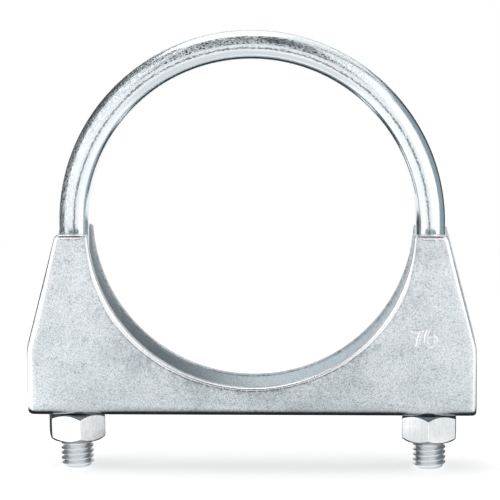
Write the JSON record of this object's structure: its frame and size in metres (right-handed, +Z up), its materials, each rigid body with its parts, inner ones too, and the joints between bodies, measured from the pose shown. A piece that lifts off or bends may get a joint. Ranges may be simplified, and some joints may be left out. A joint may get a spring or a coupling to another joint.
{
  "type": "exhaust clamp",
  "caption": "U-bolt exhaust clamp: a round bow over a pressed channel saddle with a round seat, drawn up by hexagon nuts on threaded legs.",
  "frame": {"origin": "on the pipe's axis, which is the centre of the saddle's round seat and of the bow, midway between the saddle's two faces", "axes": "+X runs to the right along the saddle, +Y along the pipe from the near face to the far face, +Z up along the legs from the nuts to the bow"},
  "size_m": [0.1068, 0.017, 0.1052],
  "materials": {
    "sheet": "bright zinc plate with a fine dull grain",
    "rod": "bright zinc plate, drawn and glossy",
    "nut": "bright zinc plate, satin"
  },
  "bodies": {
    "saddle": {"saddle": "sheet"},
    "u_bolt": {"u_bolt": "rod"},
    "nut_left": {"nut_left": "nut"},
    "nut_right": {"nut_right": "nut"}
  },
  "joints": [
    {"name": "u_bolt_slide", "type": "slide", "parent": "saddle", "child": "u_bolt", "axis": [0, 0, -1], "range_m": [-0.005, 0.015]},
    {"name": "nut_left_spin", "type": "hinge", "parent": "saddle", "child": "nut_left", "pos_m": [-0.0423, 0, -0.04915], "axis": [0, 0, 1], "range_deg": [-1440, 4320]},
    {"name": "nut_right_spin", "type": "hinge", "parent": "saddle", "child": "nut_right", "pos_m": [0.0423, 0, -0.04915], "axis": [0, 0, 1], "range_deg": [-1440, 4320]}
  ],
  "couplings": [
    {"joint": "nut_left_spin", "follows": "u_bolt_slide", "rad_per_m": 5026.5},
    {"joint": "nut_right_spin", "follows": "u_bolt_slide", "rad_per_m": 5026.5}
  ]
}
